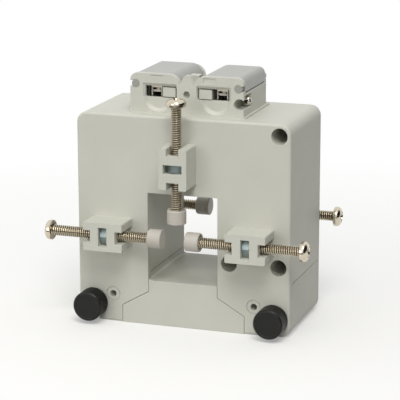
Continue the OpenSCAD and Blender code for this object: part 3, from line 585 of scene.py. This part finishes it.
# %% Two knobs with their studs
KNOB_RADIUS, KNOB_LENGTH, TEETH, FLUTE = 6.5 * MM, 8.5 * MM, 46, 0.42 * MM
STUD_LENGTH, STUD_HELD, STUD_GAP = 9.2 * MM, 1.0 * MM, 0.02 * MM
KNOB_POINTS = 4 * TEETH
FLANK_LEAN = (0.15, -0.15, 0.15, -0.15)
# Inset of each ring in mm, whether it is fluted, and its height in mm, from the back to the front face
KNOB_STEPS = [(0.7, 0, 0), (0.3, 0, 0), (0.0, 0, 0.3), (0.0, 0, 0.6), (0.0, 1, 1.0), (0.0, 1, 6.9),
              (0.0, 0, 7.4), (0.0, 0, 7.75), (0.18, 0, 8.05), (0.5, 0, 8.35), (0.85, 0, 8.5), (1.2, 0, 8.5),
              (1.45, 0, 8.35)]


def knob_ring(inset, depth, height):
    """Points round the knob at a height: four a tooth, two on its land and two in the flute."""
    ring = []
    for k in range(KNOB_POINTS):
        r = KNOB_RADIUS - inset - (depth if k % 4 in (2, 3) else 0.0)
        angle = 2 * math.pi * (k + FLANK_LEAN[k % 4]) / KNOB_POINTS
        ring.append((r * math.cos(angle), r * math.sin(angle), height))
    return ring


def knob_grip():
    """Closed mesh of the knob, back at z = 0 and front up the Z axis."""
    mesh = bmesh.new()
    rings = [[mesh.verts.new(point) for point in knob_ring(inset * MM, flute * FLUTE, height * MM)]
             for inset, flute, height in KNOB_STEPS]
    for low, high in zip(rings, rings[1:]):
        for k in range(KNOB_POINTS):
            mesh.faces.new((low[k], low[(k + 1) % KNOB_POINTS], high[(k + 1) % KNOB_POINTS], high[k]))
    mesh.faces.new(rings[0][::-1])
    mesh.faces.new(rings[-1])
    return mesh


for side in SIDES:
    low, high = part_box("knob_" + side)
    middle = (low + high) / 2
    facing_front = Matrix.Rotation(math.pi / 2, 4, "X")
    place_it = Matrix.Translation((middle.x, low.y + KNOB_LENGTH, middle.z)) @ facing_front
    grip = as_object(knob_grip(), "knob_" + side + "_grip")
    grip.data.transform(place_it)
    stand_in(grip, "knob_" + side, knob_polyamide)
    stud_mesh = threaded_shank(SCREW_RADIUS - STUD_GAP, SCREW_DEPTH, SCREW_PITCH, STUD_LENGTH + STUD_HELD)
    stud = as_object(stud_mesh, "knob_" + side + "_stud")
    stud.data.transform(place_it @ Matrix.Translation((0, 0, -STUD_LENGTH)))
    mark_hollows(stud, lambda radius, height: 0.0)
    stand_in(stud, "knob_" + side, screw_nickel)
print("faces on one knob:", len(grip.data.polygons))

# %% [markdown]
# ## Terminal block details
# The block's front has a tapered frame round each wire opening, a shallow rectangle and a slit left by
# the mould, and an open channel for a bright fixing screw on the right; the left one's front is closed.
# Its rear plate is a little lower than the covers. These are small cuts and fills on the solid, so the
# lesson takes a copy of its mesh and works on that with the same Booleans as before. The copy stands in
# for the solid. Places are in millimetres from the middle of the part.

# %% Copy of a solid that can be cut


def working_copy(node, name):
    """Object with a welded copy of a solid's mesh."""
    mesh = bmesh.new()
    mesh.from_mesh(nodes[node].data)
    bmesh.ops.remove_doubles(mesh, verts=mesh.verts, dist=0.001 * MM)
    return as_object(mesh, name)


def level(x0, x1, y0, y1, z):
    """Corners of a level rectangle at height z, in millimetres."""
    return [(x * MM, y * MM, z * MM) for x, y in ((x0, y0), (x1, y0), (x1, y1), (x0, y1))]


def upright(x0, x1, z0, z1, y):
    """Corners of an upright rectangle at depth y, in millimetres."""
    return [(x * MM, y * MM, z * MM) for x, z in ((x0, z0), (x1, z0), (x1, z1), (x0, z1))]


def bar(xs, ys, zs, name="bar"):
    """Box between two planes on each axis, in millimetres."""
    return as_object(loft(level(*xs, *ys, zs[0]), level(*xs, *ys, zs[1])), name)


def mirrored(side, xs):
    """The span on the right for side 1, or its mirror image on the left for side -1."""
    return sorted(side * x for x in xs)


# %% Frame round a wire opening, and the rear plate's outline
FRONT = -17.25                    # face of the front plate
OPENING_X, OPENING_TOP = (4.7, 18.6), 103.3
FRAME_X, FRAME_Z = (4.3, 19.6), (98.4, 104.5)
FRAME_STEP, OVERLAP = 0.85, 0.05
SHOULDER_ARC, HOLLOW_ARC = (21.6, 104.4, 2.4, 2.6, 0), (8, 102.4, 5, 5, 90)
REAR_PLATE_Y, ABOVE_BLOCK, BESIDE_BLOCK, ARC_STEPS = (14.6, 17.6), 112, 26, 18


def frame_fill(side):
    """Ring that fills the step round one wire opening with a slope; side is -1 or 1."""
    below = FRAME_Z[0] - 1
    ring = bar(mirrored(side, (FRAME_X[0] - OVERLAP, FRAME_X[1] + OVERLAP)),
               (FRONT + 0.03, FRONT + FRAME_STEP), (FRAME_Z[0] - 0.02, FRAME_Z[1] + OVERLAP))
    outer = upright(side * (FRAME_X[0] + OVERLAP), side * (FRAME_X[1] - OVERLAP), below, FRAME_Z[1] - OVERLAP,
                    FRONT - OVERLAP)
    inner = upright(side * OPENING_X[0], side * OPENING_X[1], below, OPENING_TOP, FRONT + FRAME_STEP + 0.1)
    return carve(ring, [as_object(loft(outer, inner), "slope")])


def quarter_arc(x, z, across, up, start):
    """Points of a quarter turn of an ellipse round x, z, from the start angle in degrees."""
    turns = [math.radians(start + 90 * k / ARC_STEPS) for k in range(ARC_STEPS + 1)]
    return [(x + across * math.cos(a), z + up * math.sin(a)) for a in turns]


def rear_plate_cut():
    """Everything above the lowered outline of the rear plate."""
    edge = quarter_arc(*SHOULDER_ARC) + quarter_arc(*HOLLOW_ARC)
    outline = [(BESIDE_BLOCK, SHOULDER_ARC[1])] + edge + [(-x, z) for x, z in reversed(edge)]
    outline += [(-BESIDE_BLOCK, SHOULDER_ARC[1]), (-BESIDE_BLOCK, ABOVE_BLOCK), (BESIDE_BLOCK, ABOVE_BLOCK)]
    return as_object(loft(*([(x * MM, y * MM, z * MM) for x, z in outline] for y in REAR_PLATE_Y)),
                     "rear_plate_cut")


# %% Cut and fill the terminal block
OPEN_FRONT = FRONT - 0.75
LEFT_PLATE = ((-25.1, -20.5), (FRONT, -15.5), (94.8, 100.0))
SHALLOW_RECTANGLE = ((7.4, 12.9), (OPEN_FRONT, -17.0), (105.6, 107.7))
MOULD_SLIT = ((-15.8, -10.4), (OPEN_FRONT, -16.9), (107.55, 107.95))
CHANNEL_SIDE = ((23.2, BESIDE_BLOCK), (OPEN_FRONT, -6.8), (95.5, 99.3))
CHANNEL_INSIDE = ((21.0, BESIDE_BLOCK), (-15.2, -6.8), (95.3, 100.9))
REAR_EAR_X, REAR_EAR_Y, REAR_EAR_Z = (24.25, BESIDE_BLOCK), (14.4, 17.7), (92.5, ABOVE_BLOCK)

block = working_copy("terminal_base", "terminal_block")
carve(block, [frame_fill(-1), frame_fill(1), bar(*LEFT_PLATE)], "UNION")
cuts = [bar(*SHALLOW_RECTANGLE), bar(*MOULD_SLIT), rear_plate_cut(), bar(*CHANNEL_SIDE), bar(*CHANNEL_INSIDE)]
cuts += [bar(mirrored(side, REAR_EAR_X), REAR_EAR_Y, REAR_EAR_Z) for side in (-1, 1)]
carve(block, cuts)
stand_in(block, "terminal_base", casing_polycarbonate)
print("terminal block:", len(block.data.polygons), "faces")

# %% [markdown]
# Behind the openings, each black insert gets a wider mouth in front of its cage, and the blanking plate
# beside it closes the rest of the opening. The blanking plates are plain moulded flats.

# %% Wider mouths and blanking plates
MOUTH_X, MOUTH_Y, MOUTH_Z = (11.75, 17.45), (-15.5, -13.3), (97.2, 103.35)
BLANK_X, BLANK_Y, BLANK_Z = (5.25, 10.85), (-16.3, -13.1), (98.75, 102.8)
for side, sign in zip(SIDES, (-1, 1)):
    insert = working_copy("terminal_insert_" + side, "insert_" + side)
    carve(insert, [bar(mirrored(sign, MOUTH_X), MOUTH_Y, MOUTH_Z)])
    stand_in(insert, "terminal_insert_" + side, insert_polyamide)
    plate = bar(mirrored(sign, BLANK_X), BLANK_Y, BLANK_Z, "blank_" + side)
    stand_in(plate, "blanking_plate_" + side, casing_polycarbonate)

# %% [markdown]
# Two self-tapping screws hold the block on the casing. They are one piece in the model, so both are made
# with the same shank and head as before and joined into one mesh.

# %% Two fixing screws
FIXING_RADIUS, FIXING_HEIGHT, FIXING_LENGTH = 2.15 * MM, 1.9 * MM, 9.5 * MM
FIXING_THREAD = (1.25 * MM, 0.2 * MM, 1.0 * MM)   # radius, depth and pitch
FIXING_X, FIXING_Z, FIXING_SEAT = 23.2 * MM, 97.4 * MM, -6.75 * MM
FIXING_ROLL = 30
fixings = bmesh.new()
for sign in (-1, 1):
    head = pan_head(FIXING_RADIUS, FIXING_HEIGHT, "fixing_head")
    head.data.transform(Matrix.Translation((0, 0, FIXING_LENGTH)))
    screw = carve(as_object(threaded_shank(*FIXING_THREAD, FIXING_LENGTH), "fixing"), [head], "UNION")
    roll = Matrix.Rotation(math.radians(FIXING_ROLL * sign), 4, "Z")
    tip = Matrix.Translation((sign * FIXING_X, FIXING_SEAT + FIXING_LENGTH, FIXING_Z))
    screw.data.transform(tip @ Matrix.Rotation(math.pi / 2, 4, "X") @ roll)
    fixings.from_mesh(screw.data)
    bpy.data.objects.remove(screw)
fixing_screws = as_object(fixings, "fixing_screws")
# Painted shade: the cross recess of each fixing screw's head is marked fully dark for the shader.
values = fixing_screws.data.attributes.new("hollow", "FLOAT", "POINT")
for point, value in zip(fixing_screws.data.vertices, values.data):
    off_axis = math.hypot(abs(point.co.x) - FIXING_X, point.co.z - FIXING_Z)
    below_top = point.co.y > FIXING_SEAT - FIXING_HEIGHT + 0.4 * MM
    value.value = 1.0 if off_axis < 0.55 * FIXING_RADIUS and below_top else 0.0
stand_in(fixing_screws, "base_screws", fixing_nickel)
print("fixing screws:", len(fixing_screws.data.polygons), "faces")

# %% [markdown]
# ## Table, light and camera
# The part stands on a flat white board. A large softbox hangs high in front on the right and a weaker one
# fills from the left, and the room around them is brighter overhead than at the horizon. The right side
# still falls into a gentle shade, as it does beside a window, and the shade is what shows the form of a
# plain grey box.

# %% White table
def seen_directly(tree):
    """1 for a surface seen straight, in a reflection or through glass, and 0 where it only lights others."""
    rays = add_node(tree, "ShaderNodeLightPath")
    either = add_node(tree, "ShaderNodeMath", {"operation": "MAXIMUM"},
                      {0: rays.outputs["Is Camera Ray"], 1: rays.outputs["Is Glossy Ray"]})
    return add_node(tree, "ShaderNodeMath", {"operation": "MAXIMUM"},
                    {0: either.outputs["Value"], 1: rays.outputs["Is Transmission Ray"]}).outputs["Value"]


def white_table():
    """Matt board that looks white, takes the part's shadow and throws a moderate light back at the part."""
    material, tree, place = new_material("matt_white_board")
    reach = add_node(tree, "ShaderNodeVectorMath", {"operation": "LENGTH"}, {0: place})
    far = add_node(tree, "ShaderNodeMapRange",
                   {"From Min": 0.06, "From Max": 0.32, "To Min": 0.3, "To Max": 1.0},
                   {"Value": reach.outputs["Value"]})
    paper = add_node(tree, "ShaderNodeBsdfDiffuse", {"Color": linear("#fafaf8")})
    glow = add_node(tree, "ShaderNodeEmission", {"Color": (1, 1, 1, 1), "Strength": 1.0})
    sources = {0: far.outputs["Result"], 1: paper.outputs["BSDF"], 2: glow.outputs["Emission"]}
    looked_at = add_node(tree, "ShaderNodeMixShader", links=sources)
    grey = add_node(tree, "ShaderNodeBsdfDiffuse", {"Color": linear("#c4c4c2")})
    both = add_node(tree, "ShaderNodeMixShader",
                    links={0: seen_directly(tree), 1: grey.outputs["BSDF"], 2: looked_at.outputs["Shader"]})
    add_node(tree, "ShaderNodeOutputMaterial", links={"Surface": both.outputs["Shader"]})
    return material


board_mesh = bmesh.new()
bmesh.ops.create_grid(board_mesh, x_segments=1, y_segments=1, size=6)
table = as_object(board_mesh, "white_table")
table.location.z = -0.05 * MM
table.data.materials.append(white_table())

# %% Sky and softboxes
world = bpy.data.worlds.new("studio_room")
bpy.context.scene.world = world
world.use_nodes = True
sky = world.node_tree
sky.nodes.clear()
heading = add_node(sky, "ShaderNodeTexCoord")
parts = add_node(sky, "ShaderNodeSeparateXYZ", links={"Vector": heading.outputs["Generated"]})
height = add_node(sky, "ShaderNodeMapRange",
                  {"From Min": -0.1, "From Max": 1.0, "To Min": 0.0, "To Max": 1.0},
                  {"Value": parts.outputs["Z"]})
room = add_node(sky, "ShaderNodeValToRGB", links={"Fac": height.outputs["Result"]})
room.color_ramp.elements[0].color = (0.28, 0.275, 0.265, 1)
room.color_ramp.elements[1].color = (0.76, 0.76, 0.76, 1)
lit = add_node(sky, "ShaderNodeBackground", {"Strength": 1.0}, {"Color": room.outputs["Color"]})
white = add_node(sky, "ShaderNodeBackground", {"Color": (1, 1, 1, 1), "Strength": 1.0})
chosen = add_node(sky, "ShaderNodeMixShader",
                  links={0: seen_directly(sky), 1: lit.outputs["Background"], 2: white.outputs["Background"]})
add_node(sky, "ShaderNodeOutputWorld", links={"Surface": chosen.outputs["Shader"]})


def softbox(name, place, size, power, colour):
    """Square lamp that looks at the middle of the part."""
    lamp = bpy.data.lights.new(name, "AREA")
    lamp.size, lamp.energy, lamp.color = size, power, linear(colour)[:3]
    holder = bpy.data.objects.new(name, lamp)
    bpy.context.scene.collection.objects.link(holder)
    holder.location = place
    holder.rotation_euler = (Vector((0, 0, 0.05)) - Vector(place)).to_track_quat("-Z", "Y").to_euler()


BOX_SIZE = 0.6
softbox("key_softbox", (0.30, -0.75, 1.10), BOX_SIZE, 9.2, "#fffefb")
softbox("fill_softbox", (-0.50, -1.20, 0.35), BOX_SIZE, 2.6, "#fffdf8")
print("lamps:", [lamp.name for lamp in bpy.data.lights])

# %% [markdown]
# Bright metal shows only what it mirrors. In an all-white room it would look like white plaster, so dark
# cards lie beside and in front of the part. They are hidden from the camera's own view, so that the part
# can be looked at from any side. They also keep light off the right side and the undersides.

# %% Two dark cards


def dark_card(name, corners):
    """Flat sheet between four corners, covered with black felt."""
    mesh = bmesh.new()
    mesh.faces.new([mesh.verts.new(corner) for corner in corners])
    card = as_object(mesh, name)
    card.data.materials.append(felt)
    card.visible_camera = False
    return card


felt, felt_tree, felt_place = new_material("black_felt")
fibres = add_node(felt_tree, "ShaderNodeTexNoise", {"Scale": per_mm(1.0), "Detail": 3.0},
                  {"Vector": felt_place})
felt_tone = add_node(felt_tree, "ShaderNodeValToRGB", links={"Fac": fibres.outputs["Fac"]})
for stop, shade in zip(felt_tone.color_ramp.elements, ("#262625", "#363634")):
    stop.color = linear(shade)
felt_cloth = add_node(felt_tree, "ShaderNodeBsdfDiffuse", links={"Color": felt_tone.outputs["Color"]})
add_node(felt_tree, "ShaderNodeOutputMaterial", links={"Surface": felt_cloth.outputs["BSDF"]})
CARD_X, CARD_Y, CARD_HEIGHT = 0.34, (-0.34, 0.30), 0.34
dark_card("card_right", [(CARD_X, CARD_Y[0], 0), (CARD_X, CARD_Y[1], 0), (CARD_X, CARD_Y[1], CARD_HEIGHT),
                         (CARD_X, CARD_Y[0], CARD_HEIGHT)])
dark_card("card_front", [(-0.45, -0.55, MM), (0.5, -0.55, MM), (0.5, -0.19, MM), (-0.45, -0.19, MM)])

# %% [markdown]
# A long lens keeps the box's edges nearly parallel. The camera stands in front,
# a little to the right and a little above.

# %% Camera
lens = bpy.data.cameras.new("long_lens")
lens.lens = 166.96
lens.sensor_width = 36
lens.clip_end = 20
camera = bpy.data.objects.new("long_lens", lens)
bpy.context.scene.collection.objects.link(camera)
camera.location = (0.25275, -0.73787, 0.24600)
gaze = Vector((-0.31443, 0.91774, -0.24269))
tilt = Matrix.Rotation(math.radians(-0.12), 3, "Z")
camera.rotation_euler = (gaze.to_track_quat("-Z", "Y").to_matrix() @ tilt).to_euler()
bpy.context.scene.camera = camera
bpy.context.scene.view_settings.view_transform = "Standard"
